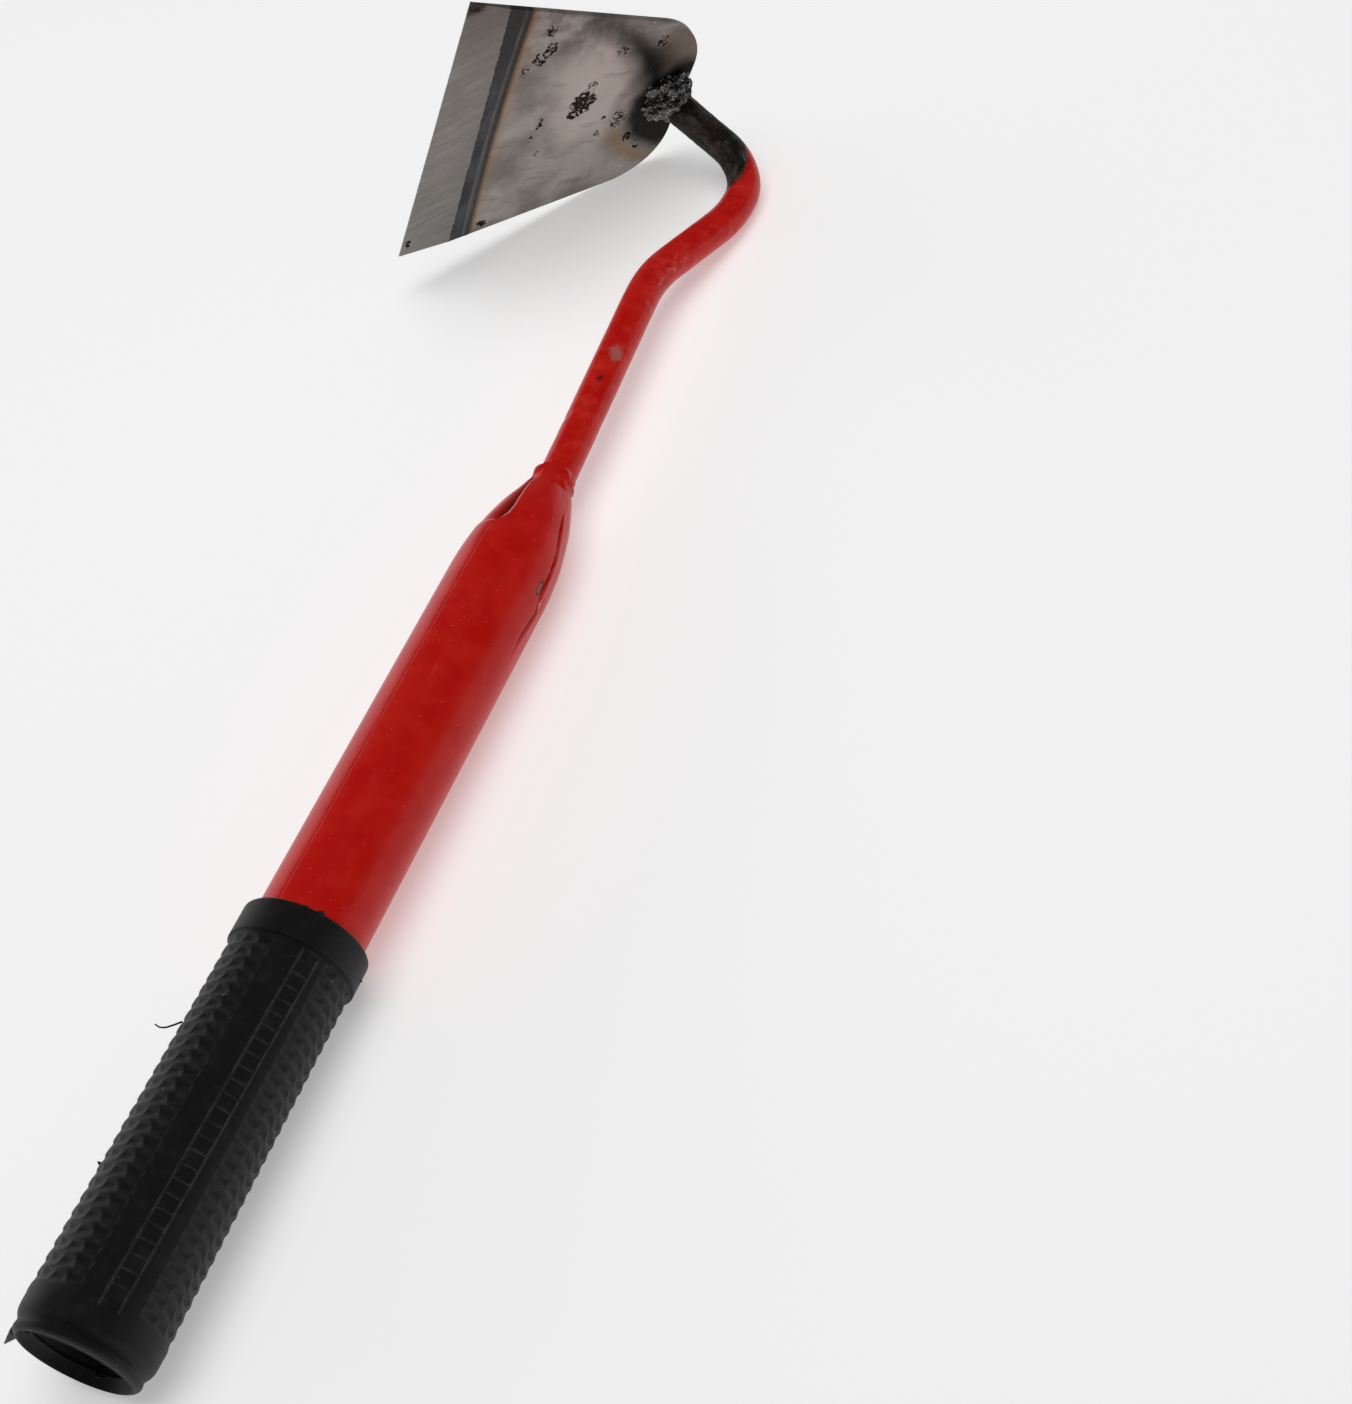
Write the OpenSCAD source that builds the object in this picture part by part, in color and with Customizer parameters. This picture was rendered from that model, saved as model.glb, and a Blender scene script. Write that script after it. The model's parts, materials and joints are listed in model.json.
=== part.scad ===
// Short-handled draw hoe: a flat steel blade welded to a bent bar,
// the bar welded into the tapered mouth of a steel tube, and a rubber grip on the tube.
// Each piece is drawn in the handle's frame, with +Y along the handle towards the blade,
// and the whole tool is then laid on its back, as it rests on a bench.

/* [Handle tube] */
// Outer diameter of the painted steel tube
tube_d = 32; // [30:0.5:34]
// Wall thickness of the tube
tube_wall = 1.5; // [1.2:0.1:2]
// Thickness of the red paint, which ends under the grip's collar
paint_t = 0.1; // [0.05:0.05:0.2]
// Length of the straight stretch from the grip's collar to the taper
tube_straight_l = 131.7; // [100:1:200]
// Length of the closed-in taper
nose_l = 41; // [38:0.5:44]
// Radius of the curve that the taper follows
nose_curve_r = 112; // [105:1:125]
// Width of the open slit at its rear end, where one side of the taper stays open
slit_w = 6.4; // [3:0.2:8]
// Length of the open slit
slit_l = 26; // [18:1:30]
// Angle of the slit round the handle
slit_a = 223; // [200:1:240]
// Width of the closed seam on the other side of the taper
seam_w = 0.4; // [0.2:0.1:0.8]
// Angle of the closed seam round the handle
seam_a = -42; // [-60:1:-20]

/* [Grip] */
// Length of the rubber grip
grip_l = 127.2; // [100:0.2:150]
// Outer diameter of the smooth collar at the grip's front
collar_d = 37.8; // [36:0.2:42]
// Length of the collar
collar_l = 10.3; // [6:0.5:16]
// Chamfer on the collar's front rim
rim_chamfer = 0.8; // [0.4:0.1:1.2]
// Outer diameter of the patterned body behind the collar
grip_front_d = 36.2; // [35:0.2:38]
// Outer diameter of the patterned body at its rear end
grip_rear_d = 37.6; // [36:0.2:39]
// Outer diameter of the smooth band round the rear end
band_d = 37.4; // [37:0.1:40]
// Length of the band with its rounded lip
band_l = 10; // [7:0.5:16]
// Distance that the rear end's rounding turns inwards
lip_r = 3; // [1:0.1:3.2]
// Length of that rounding along the handle
lip_round_l = 8; // [4:0.5:9]
// Distance that the rubber reaches past the end of the tube
lip_l = 3.5; // [2:0.5:6]
// Diameter of the open mouth in the rear end of the grip
mouth_d = 30; // [29.2:0.2:31]
// Thickness of the black adhesive film between the grip and the tube
film_t = 0.3; // [0.2:0.1:0.5]

/* [Bent bar] */
// Diameter of the round steel bar
bar_d = 12; // [10:0.5:13]
// Length of the bar that is hidden inside the tube
bar_hidden_l = 30; // [15:1:60]
// Length of the straight stretch from the tube's mouth to the first bend
bar_straight_l = 92; // [60:1:120]
// Slope of the straight stretch against the handle
bar_slope = -2.8; // [-4:0.1:0]
// Radius of the first, gentle bend
rise_r = 55; // [40:1:80]
// Angle of the first bend
rise_a = 21.3; // [15:0.5:30]
// Length between the first bend and the crook
climb_l = 26.8; // [15:0.5:40]
// Radius where the crook begins
crown_r = 52; // [40:1:70]
// Angle of the crook's gentle beginning
crown_a = 18.5; // [10:0.5:25]
// Radius of the crook
crook_r = 21.4; // [18:0.2:30]
// Angle of the crook
crook_a = 72; // [60:1:85]
// Length of the straight end that meets the blade
end_l = 26.2; // [20:0.5:40]

/* [Blade] */
// Width of the cutting edge
edge_w = 126.4; // [100:1:140]
// Width that the back would have if its corners were sharp
back_w = 71.4; // [62:0.5:80]
// Distance from the cutting edge to the back
blade_h = 99.3; // [85:1:115]
// Thickness of the plate
blade_t = 2; // [1.5:0.1:2.5]
// Radius of the two back corners
shoulder_r = 25.3; // [18:0.5:28]
// Angle between the blade and the handle
blade_a = 41.1; // [35:0.5:50]
// Distance from the middle of the bar's end to the back of the blade
weld_inset = 5.1; // [3:0.5:8]
// Length of the ground bevel along the cutting edge
bevel_l = 17; // [10:0.5:20]
// Thickness left at the cutting edge
edge_t = 0.5; // [0.3:0.1:0.8]

/* [Welds] */
// Radius of the weld bead round the bar's end on the blade
blade_bead_r = 9.2; // [8:0.2:11]
// Height of that bead along the bar
blade_bead_h = 7; // [5:0.5:9]
// Distance that the bead's middle lies to one side of the bar's end
bead_side = 1.8; // [0:0.2:3]
// Distance that the bead stands out past the back of the blade
bead_overhang = 0.6; // [0.2:0.2:2]
// Radius of the weld ring round the bar at the tube's mouth
neck_ring_r = 7.7; // [7.2:0.1:8.5]
// Length of the weld ring
neck_ring_l = 8; // [6:0.5:12]

/* [Rest] */
// Angle that the tool is rolled round its handle, until one shoulder of the blade meets the floor
rest_roll = 125.3; // [123:0.1:126]
// Distance from the middle of the handle's axis system to the middle of the tool's box, across the handle
box_mid_x = 46.9; // [40:0.1:55]
// The same distance along the handle
box_mid_y = 110.1; // [100:0.1:120]

/* [Hidden] */
$fn = 96;

tube_r = tube_d / 2;
bare_r = tube_r - paint_t;
bore_r = bare_r - tube_wall;
bar_r = bar_d / 2;

// Straight lengths of bar overlap the bends by this much, and the bends are this much slimmer,
// so that the solids join cleanly
overlap = 0.3;
bend_thin = 0.02;
// Straight length between the two parts of the crook
join_l = 1;
// Cutting shapes are this big, well outside the pieces they trim
trim = 40;
// Length of the small step at each end of the grip's patterned body
step_l = 0.6;

// Places along the handle, measured from the grip's collar at collar_y
collar_y = -7;
grip_end_y = collar_y - grip_l;
tube_end_y = grip_end_y + lip_l;
nose_y = collar_y + tube_straight_l;
mouth_y = nose_y + nose_l;
bar_start_y = mouth_y - bar_hidden_l;
// The bar crosses the handle's axis at the front of the weld ring
bar_rise = -tan(bar_slope) * (bar_hidden_l + neck_ring_l);

// Radius of the taper at a distance in front of nose_y
function nose_radius(d) = tube_r - nose_curve_r + sqrt(nose_curve_r * nose_curve_r - d * d);

NOSE_STEPS = 16;
nose_outline = [for (i = [0 : NOSE_STEPS]) [nose_radius(i * nose_l / NOSE_STEPS), nose_y + i * nose_l / NOSE_STEPS]];
nose_inside = [for (i = [NOSE_STEPS : -1 : 0])
    [max(nose_radius(i * nose_l / NOSE_STEPS) - tube_wall - paint_t, bar_r), nose_y + i * nose_l / NOSE_STEPS]];

// The bar as a chain of steps, each [length or radius, turn]; a turn of 0 is a straight length
BAR = [
    [bar_hidden_l + bar_straight_l, 0],
    [rise_r, rise_a],
    [climb_l, 0],
    [crown_r, -crown_a],
    [join_l, 0],
    [crook_r, -crook_a],
    [end_l, 0]
];
function step_end(s) = s[1] == 0
    ? [0, s[0], 0]
    : [0, s[0] * sin(abs(s[1])), sign(s[1]) * s[0] * (1 - cos(s[1]))];
function turned(v, a) = [0, v[1] * cos(a) - v[2] * sin(a), v[1] * sin(a) + v[2] * cos(a)];
function heading(i) = i == 0 ? bar_slope : heading(i - 1) + BAR[i - 1][1];
function place(i) = i == 0 ? [0, bar_start_y, bar_rise] : place(i - 1) + turned(step_end(BAR[i - 1]), heading(i - 1));

bar_end = place(len(BAR));

// Blade outline: straight sides, with the points where the round corners begin
side_a = atan2((edge_w - back_w) / 2, blade_h);
tangent_l = shoulder_r / tan((90 + side_a) / 2);
corner_x = back_w / 2 - tangent_l;
side_x = back_w / 2 + tangent_l * sin(side_a);
side_y = tangent_l * cos(side_a);
bevel_a = atan2(blade_t - edge_t, bevel_l);

// The tool lies on the collar's front rim, on the tube where the taper begins and on the blade's shoulder
rim_y = collar_y - rim_chamfer;
rim_rise = collar_d / 2 - tube_r;
taper_y = nose_y + nose_curve_r * sin(atan(rim_rise / tube_straight_l));
rest_slope = atan(rim_rise / (taper_y - rim_y));
floor_drop = collar_d / 2 * cos(rest_slope) + rim_y * sin(rest_slope);
module at_rest() {
    translate([box_mid_x, -box_mid_y, floor_drop]) rotate([-rest_slope, 0, 0]) rotate([0, rest_roll, 0]) children();
}

// Turns a profile drawn as [radius, place along the handle] round the handle
module turned_part() {
    rotate([90, 0, 0]) mirror([0, 0, 1]) rotate_extrude() children();
}

// One straight length of bar, along +Y from the origin
module bar_length(l) {
    translate([0, -overlap, 0]) rotate([-90, 0, 0]) cylinder(h = l + 2 * overlap, r = bar_r);
}

// One bend of bar, from the origin along +Y; a positive turn rises towards +Z
module bar_bend(r, turn) {
    rotate([0, turn > 0 ? 90 : -90, 0]) translate([-r, 0, 0])
        rotate_extrude(angle = abs(turn)) translate([r, 0]) circle(r = bar_r - bend_thin);
}

// Step i of the bar, in its place
module bar_step(i) {
    translate(place(i)) rotate([heading(i), 0, 0]) {
        if (BAR[i][1] == 0) bar_length(BAR[i][0]);
        else bar_bend(BAR[i][0], BAR[i][1]);
    }
}

// Children are drawn on the blade: the bar's end is at the origin, the face that the bar
// meets is z = 0, +Y runs to the back and the cutting edge is at negative Y
module on_blade() {
    translate(bar_end) rotate([blade_a, 0, 0]) children();
}

// The last length of bar runs on past the weld, to be trimmed flush with the blade
module bar_tip() {
    translate(bar_end) rotate([heading(len(BAR)), 0, 0]) translate([0, -end_l - overlap, 0])
        rotate([-90, 0, 0]) cylinder(h = end_l + overlap + bar_r, r = bar_r);
}

// Everything on the far side of the blade's face
module behind_face() {
    on_blade() translate([-trim / 2, -trim / 2, -trim]) cube(trim);
}

module plate_outline() {
    polygon([
        [-edge_w / 2, -blade_h], [edge_w / 2, -blade_h],
        [side_x, -side_y], [corner_x, 0], [-corner_x, 0], [-side_x, -side_y]
    ]);
    for (s = [-1, 1]) translate([s * corner_x, -shoulder_r]) circle(r = shoulder_r);
}

module blade() {
    color([0.55, 0.55, 0.54]) at_rest() on_blade() difference() {
        translate([0, weld_inset, -blade_t]) linear_extrude(height = blade_t) plate_outline();
        // The ground bevel, on the face that the bar meets
        translate([0, weld_inset - blade_h, -blade_t + edge_t]) rotate([bevel_a, 0, 0])
            translate([-edge_w, -bevel_l, 0]) cube([2 * edge_w, 2 * bevel_l + blade_t, trim]);
    }
}

// The bead round the bar's end: a dome whose side follows a round
module bead_dome() {
    rotate_extrude() polygon([
        [0, 0],
        for (a = [0 : 10 : 90]) [blade_bead_r * (0.55 + 0.45 * cos(a)), blade_bead_h * sin(a)],
        [0, blade_bead_h]
    ]);
}

module blade_weld() {
    color([0.10, 0.10, 0.10]) at_rest() difference() {
        on_blade() difference() {
            translate([-bead_side, 0, 0]) bead_dome();
            translate([-trim / 2, weld_inset + bead_overhang, -trim / 2]) cube(trim);
        }
        bar_tip();
    }
}

module bent_bar() {
    color([0.72, 0.10, 0.08]) at_rest() {
        for (i = [0 : len(BAR) - 2]) bar_step(i);
        difference() {
            bar_tip();
            behind_face();
        }
    }
}

module neck_weld() {
    color([0.72, 0.10, 0.08]) at_rest() difference() {
        translate([0, mouth_y, 0]) rotate([-90, 0, 0]) intersection() {
            cylinder(h = neck_ring_l, r = neck_ring_r);
            // Both ends of the ring are rounded down towards the bar
            translate([0, 0, neck_ring_l * 0.4]) sphere(r = neck_ring_r * 1.08);
        }
        bar_step(0);
    }
}

module handle_tube() {
    color([0.72, 0.10, 0.08]) at_rest() difference() {
        turned_part() polygon(concat(
            [[bore_r, tube_end_y], [bare_r, tube_end_y], [bare_r, collar_y], [tube_r, collar_y]],
            nose_outline, nose_inside));
        // The slit that stays open on one side of the taper, pointed at both ends
        rotate([0, slit_a, 0]) translate([0, mouth_y - slit_l, 0]) linear_extrude(height = tube_d)
            polygon([
                [0, 0], [slit_w / 2, slit_l * 0.2], [slit_w / 2, slit_l * 0.5], [slit_w / 5, slit_l + 1],
                [-slit_w / 5, slit_l + 1], [-slit_w / 2, slit_l * 0.5], [-slit_w / 2, slit_l * 0.2]
            ]);
        // The closed seam on the other side
        rotate([0, seam_a, 0]) translate([-seam_w / 2, mouth_y - slit_l, 0]) cube([seam_w, slit_l + 1, tube_d]);
        bar_step(0);
    }
}

module grip_adhesive() {
    color([0.05, 0.05, 0.05]) at_rest() turned_part() polygon([
        [bare_r, tube_end_y + film_t], [bare_r + film_t, tube_end_y + film_t],
        [bare_r + film_t, collar_y], [bare_r, collar_y]
    ]);
}

module rubber_grip() {
    inner_r = bare_r + film_t;
    mouth_r = mouth_d / 2;
    band_y = grip_end_y + band_l;
    body_y = collar_y - collar_l;
    color([0.07, 0.07, 0.07]) at_rest() turned_part() polygon([
        [inner_r, collar_y - rim_chamfer], [inner_r + rim_chamfer, collar_y],
        [collar_d / 2 - rim_chamfer, collar_y], [collar_d / 2, rim_y],
        [collar_d / 2, body_y], [grip_front_d / 2, body_y - step_l],
        [grip_rear_d / 2, band_y + step_l], [band_d / 2, band_y],
        for (a = [0 : 15 : 90])
            [band_d / 2 - lip_r * (1 - cos(a)), grip_end_y + lip_round_l * (1 - sin(a))],
        [mouth_r, grip_end_y], [mouth_r, tube_end_y], [inner_r, tube_end_y]
    ]);
}

blade();
blade_weld();
bent_bar();
neck_weld();
handle_tube();
grip_adhesive();
rubber_grip();
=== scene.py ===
import json
import math

import bmesh
import bpy
from mathutils import Matrix, Vector, noise


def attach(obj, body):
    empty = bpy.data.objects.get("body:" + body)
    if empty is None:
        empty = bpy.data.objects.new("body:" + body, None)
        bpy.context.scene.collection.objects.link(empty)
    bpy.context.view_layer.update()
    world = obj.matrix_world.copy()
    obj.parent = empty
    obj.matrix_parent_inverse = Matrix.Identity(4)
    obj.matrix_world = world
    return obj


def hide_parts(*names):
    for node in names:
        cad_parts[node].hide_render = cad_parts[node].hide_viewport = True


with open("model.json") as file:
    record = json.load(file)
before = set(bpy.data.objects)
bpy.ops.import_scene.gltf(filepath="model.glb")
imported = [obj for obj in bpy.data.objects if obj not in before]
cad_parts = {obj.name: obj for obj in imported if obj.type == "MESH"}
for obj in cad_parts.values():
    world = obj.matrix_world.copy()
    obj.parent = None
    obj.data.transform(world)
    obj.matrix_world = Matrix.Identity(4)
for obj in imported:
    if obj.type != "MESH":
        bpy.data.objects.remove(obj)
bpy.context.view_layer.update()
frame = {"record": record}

# ------------------------------------------------ lengths in millimetres, in the handle's frame
# +Y runs along the handle to the blade, +Z is the side the bar humps towards, and a place round the handle is
# an angle: 0 on the -X side, 90 on the +Z side.
MM = 0.001
ROLL = math.radians(125.3)
BORE_MIDDLE = -3.0
COLLAR_FRONT = -7.0
GRIP_END = -134.18
TUBE_END = -130.7
TUBE_R = 16.0
TUBE_WALL = 1.45
FILM_T = 0.3
NOSE_START = 124.7
NOSE_CURVE = 112.0
MOUTH = 165.7
BAR_R = 6.0
BAR_HIDDEN = 30.0
BAR_SLOPE = -2.8
BAR_CROSSES = 8
# The bar's bends, as (length, 0) for a straight and (radius, degrees) for a turn
BENDS = ((122.0, 0), (55.0, 21.3), (26.8, 0), (52.0, -18.5), (1.0, 0), (21.4, -72), (26.2, 0))
BLADE_LEAN = 41.1
BLADE_H = 99.3
WELD_INSET = 5.1
EDGE_W = 126.4
BACK_W = 71.4
SHOULDER_R = 25.3
PLATE_T = 2.0
EDGE_T = 0.5

bore = frame["record"]["mounts"][0]
ahead = -Vector(bore["axis"])
HANDLE = (
    Matrix.Translation(Vector(bore["pos_m"]) - ahead * BORE_MIDDLE * MM)
    @ Matrix.Rotation(-math.atan2(-ahead.z, ahead.y), 4, "X")
    @ Matrix.Rotation(ROLL, 4, "Y")
    @ Matrix.Scale(MM, 4)
)


# ---------------------------------------------------------------- small sums
def clamp(v, low=0.0, high=1.0):
    return max(low, min(high, v))


def ease(low, high, v):
    """Climbs smoothly from 0 at low to 1 at high, and the other way round where low is the larger."""
    t = clamp((v - low) / (high - low))
    return t * t * (3 - 2 * t)


def bump_at(v, centre, width):
    return math.exp(-(((v - centre) / width) ** 2))


def along_line(stops, v):
    """Reads a value off a line through (place, value) stops."""
    if v <= stops[0][0]:
        return stops[0][1]
    for (v0, a0), (v1, a1) in zip(stops, stops[1:]):
        if v <= v1:
            return a0 + (a1 - a0) * (v - v0) / (v1 - v0)
    return stops[-1][1]


def patch(y, angle, spot, size):
    """A patch that is full at its spot, as (y, angle), and fades out over its size."""
    return math.exp(-(((y - spot[0]) / size[0]) ** 2) - (((angle - spot[1]) / size[1]) ** 2))


def rough(x, y, z, size, octaves=4):
    return noise.fractal(Vector((x, y, z)) / size, 1.0, 2.0, octaves)


def nose_radius(y):
    d = clamp(y - NOSE_START, 0, MOUTH - NOSE_START + 1)
    return TUBE_R - NOSE_CURVE + math.sqrt(NOSE_CURVE**2 - d * d)


def steps(start, end, size):
    count = max(1, round(abs(end - start) / size))
    return [start + (end - start) * i / count for i in range(count)]


# ---------------------------------------------------------------- the bar's bends
def bar_places():
    """The frame at the start of each step of the bent bar, with the distance along the bar."""
    rise = -math.tan(math.radians(BAR_SLOPE)) * (BAR_HIDDEN + BAR_CROSSES)
    at = Matrix.Translation((0, MOUTH - BAR_HIDDEN, rise)) @ Matrix.Rotation(math.radians(BAR_SLOPE), 4, "X")
    gone, out = 0.0, []
    for size, turn in BENDS:
        out.append((gone, at.copy(), size, turn))
        length = size if turn == 0 else size * math.radians(abs(turn))
        at = at @ bend_step(size, turn, length)
        gone += length
    out.append((gone, at, 1.0, 0))
    return out


def bend_step(size, turn, length):
    if turn == 0:
        return Matrix.Translation((0, length, 0))
    side = math.copysign(size, turn)
    return (
        Matrix.Translation((0, 0, side))
        @ Matrix.Rotation(length / side, 4, "X")
        @ Matrix.Translation((0, 0, -side))
    )


PLACES = bar_places()
BAR_LENGTH = PLACES[-1][0]
BAR_END = PLACES[-1][1].translation


def bar_frame(s):
    for gone, at, size, turn in reversed(PLACES):
        if s >= gone or gone == 0:
            return at @ bend_step(size, turn, s - gone)


PLATE = (
    HANDLE
    @ Matrix.Translation(BAR_END)
    @ Matrix.Rotation(math.radians(BLADE_LEAN), 4, "X")
    @ Matrix.Translation((0, WELD_INSET - BLADE_H, 0))
)


# ---------------------------------------------------------------- finishes
class Flow:
    """A shader value that can be used in plain sums."""

    def __init__(self, finish, socket):
        self.finish, self.socket = finish, socket

    def sum(self, how, *others):
        return self.finish.node("Math", {"operation": how}, dict(enumerate((self,) + others)))

    def __add__(self, o):
        return self.sum("ADD", o)

    __radd__ = __add__

    def __mul__(self, o):
        return self.sum("MULTIPLY", o)

    __rmul__ = __mul__

    def __sub__(self, o):
        return self.sum("SUBTRACT", o)

    def __rsub__(self, o):
        return self.finish.node("Math", {"operation": "SUBTRACT"}, {0: o, 1: self})

    def __abs__(self):
        return self.sum("ABSOLUTE")

    def __pow__(self, o):
        return self.sum("POWER", o)

    def most(self, o):
        return self.sum("MAXIMUM", o)

    def rise(self, low, high):
        """Climbs smoothly from 0 at low to 1 at high, and the other way round where low is the larger."""
        settings = {"interpolation_type": "SMOOTHSTEP"}
        if low < high:
            return self.finish.node("MapRange", settings, {0: self, 1: low, 2: high, 3: 0.0, 4: 1.0})
        return self.finish.node("MapRange", settings, {0: self, 1: high, 2: low, 3: 1.0, 4: 0.0})

    def near(self, centre, width):
        """Full at the centre, and gone at the width to either side."""
        return abs(self - centre).rise(width, 0.0)

    def parts(self):
        made = self.finish.node("SeparateXYZ", {}, {0: self})
        return [Flow(self.finish, made.socket.node.outputs[i]) for i in range(3)]


class Finish:
    """A material and the nodes that mix it."""

    def __init__(self, name):
        self.material = bpy.data.materials.new(name)
        self.material.use_nodes = True
        self.tree = self.material.node_tree
        self.tree.nodes.clear()

    def node(self, kind, settings, sockets, out=0):
        made = self.tree.nodes.new("ShaderNode" + kind)
        for name, value in settings.items():
            setattr(made, name, value)
        for name, value in sockets.items():
            if isinstance(value, Flow):
                self.tree.links.new(value.socket, made.inputs[name])
            else:
                made.inputs[name].default_value = value
        return Flow(self, made.outputs[out]) if made.outputs else None

    def local(self, place):
        """Object coordinates read in a piece's own frame, in millimetres."""
        spot, turn, size = place.decompose()
        where = self.node("TexCoord", {}, {}, "Object")
        return self.node(
            "Mapping",
            {"vector_type": "TEXTURE"},
            {"Vector": where, "Location": spot, "Rotation": turn.to_euler(), "Scale": size},
        )

    def kept(self, name):
        """A place kept on each point of the mesh from before it was bent."""
        return self.node("Attribute", {"attribute_name": name}, {}, "Vector")

    def kept_value(self, name):
        """A number kept on each point of the mesh."""
        return self.node("Attribute", {"attribute_name": name}, {}, "Fac")

    def stretch(self, where, x, y, z):
        return self.node("VectorMath", {"operation": "MULTIPLY"}, {0: where, 1: (x, y, z)})

    def shift(self, where, x, y, z):
        return self.node("VectorMath", {"operation": "ADD"}, {0: where, 1: (x, y, z)})

    def cloud(self, where, size, detail=4.0, roughness=0.55):
        sockets = {"Vector": where, "Scale": 1 / size, "Detail": detail, "Roughness": roughness}
        return self.node("TexNoise", {}, sockets, 0)

    def cells(self, where, size):
        return self.node("TexVoronoi", {}, {"Vector": where, "Scale": 1 / size}, "Distance")

    def blend(self, amount, a, b):
        """Colour a where the amount is 0, and colour b where it is 1."""
        a, b = (side if isinstance(side, Flow) else (*side, 1) for side in (a, b))
        return self.node("Mix", {"data_type": "RGBA"}, {0: amount, 6: a, 7: b}, 2)

    def bump(self, height, depth_mm):
        sockets = {"Height": height, "Distance": depth_mm * MM, "Strength": 1.0}
        return self.node("Bump", {}, sockets, "Normal")

    def surface(self, **sockets):
        shader = self.node("BsdfPrincipled", {}, {name.replace("_", " "): v for name, v in sockets.items()})
        self.node("OutputMaterial", {}, {"Surface": shader})
        return self.material


def colour(r, g, b):
    """A colour in a screen's values, from 0 to 255, turned into light."""
    return tuple((v / 255 / 12.92) if v < 10 else ((v / 255 + 0.055) / 1.055) ** 2.4 for v in (r, g, b))


# ---------------------------------------------------------------- making pieces
def finish_piece(name, bm, node, material, sharp, place=HANDLE):
    """Sets a piece in its place with its material, hangs it on the root body, and hides the CAD part that it
    stands for.
    """
    bmesh.ops.transform(bm, matrix=place, verts=bm.verts)
    mesh = bpy.data.meshes.new(name)
    bm.to_mesh(mesh)
    bm.free()
    mesh.materials.append(material)
    for face in mesh.polygons:
        face.use_smooth = True
    mesh.set_sharp_from_angle(angle=math.radians(sharp))
    made = bpy.data.objects.new(name, mesh)
    bpy.context.scene.collection.objects.link(made)
    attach(made, "root")
    if node:
        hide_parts(node)
    return made


def spot_round(radius, angle, y):
    a = math.radians(angle)
    return Vector((-radius * math.cos(a), y, radius * math.sin(a)))


def angle_of(co):
    return math.degrees(math.atan2(co.z, -co.x))


def turn_profile(profile, count, start=0.0, sweep=360.0):
    """Turns a profile of (radius, y) steps round the handle. A sweep short of a full turn is left open."""
    bm = bmesh.new()
    dots = [bm.verts.new(spot_round(r, start, y)) for r, y in profile]
    for a, b in zip(dots, dots[1:]):
        bm.edges.new((a, b))
    bmesh.ops.spin(
        bm,
        geom=bm.verts[:] + bm.edges[:],
        axis=(0, 1, 0),
        cent=(0, 0, 0),
        angle=math.radians(sweep),
        steps=count,
        use_merge=sweep == 360.0,
    )
    return bm


# ---------------------------------------------------------------- red paint, dark steel, burnt bar
PAINT_IOR = 1.29
STEEL_IOR = 1.18
RUBBER_IOR = 1.30


def red_paint(name, where):
    """Glossy paint that is chipped, rubbed and dusty. Where gives the place that it is read at."""
    f = Finish(name)
    spot = where(f)
    mottle = f.cloud(spot, 9.0, 3.0)
    base = f.blend(mottle.rise(0.35, 0.7), colour(199, 15, 8), colour(208, 30, 20))
    orange_peel = f.cloud(spot, 1.6, 2.0)
    specks = f.cells(spot, 2.6)
    chip_here = f.cloud(spot, 12.0, 2.0).rise(0.56, 0.66)
    chips = specks.rise(0.10, 0.06) * chip_here
    rub = f.cloud(f.stretch(spot, 1.0, 0.35, 1.0), 5.0, 6.0, 0.7).rise(0.62, 0.74)
    wear_and_highlight = f.blend(rub * 0.22, base, colour(222, 110, 98))
    dust = f.cells(f.shift(spot, 3.0, 1.0, 2.0), 3.1).rise(0.07, 0.03)
    wear_and_highlight = f.blend(dust * 0.5, wear_and_highlight, colour(232, 160, 150))
    paint = f.blend(chips * 0.8, wear_and_highlight, colour(60, 22, 18))
    gloss = 0.30 + rub * 0.15 + chips * 0.3
    height = orange_peel * 0.25 - chips * 0.5
    return f, spot, paint, gloss, height


def handle_place(f):
    return f.local(HANDLE)


def along_the_bar(f):
    return f.kept("straight")


def tube_paint():
    f, spot, paint, gloss, height = red_paint("red_tube_paint", handle_place)
    bare = f.kept_value("bare")
    ridged = f.kept_value("ridged")
    lip = f.kept_value("lip")
    groove = f.kept_value("groove")
    patchy = f.cloud(spot, 0.9, 4.0, 0.7)
    # Painted shade: a darker red line down the seam's groove
    paint = f.blend(groove * 0.6, paint, colour(96, 6, 4))
    # Painted shade: the sheet tucked under the slit's lip darkens towards the lip
    paint = f.blend(f.kept_value("painted_fold_shade") * 0.92, paint, colour(58, 4, 3))
    paint = f.blend(bare.rise(0.35, 0.6) * patchy.rise(0.3, 0.6), paint, colour(150, 84, 72))
    paint = f.blend(bare.near(0.42, 0.22), paint, colour(58, 26, 20))
    paint = f.blend(ridged * patchy.rise(0.42, 0.56), paint, colour(226, 190, 184))
    # Painted highlight: a pale pink line along the slit's raised lip
    paint = f.blend(lip, paint, colour(255, 206, 198))
    gloss = gloss + bare * 0.2
    return f.surface(
        Base_Color=paint,
        Roughness=gloss,
        IOR=PAINT_IOR,
        Normal=f.bump(height, 0.05),
    )


def dark_steel():
    f = Finish("dark_tube_inside")
    spot = f.local(HANDLE)
    rust = f.cloud(spot, 4.0, 6.0, 0.65)
    return f.surface(
        Base_Color=f.blend(rust.rise(0.4, 0.7), colour(15, 14, 14), colour(34, 30, 28)),
        Roughness=0.55 + rust * 0.2,
        Metallic=0.3,
        Normal=f.bump(rust, 0.2),
    )


def weld_paint():
    f, _, paint, gloss, height = red_paint("red_weld_paint", handle_place)
    return f.surface(Base_Color=paint, Roughness=gloss, IOR=PAINT_IOR, Normal=f.bump(height, 0.08))


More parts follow.
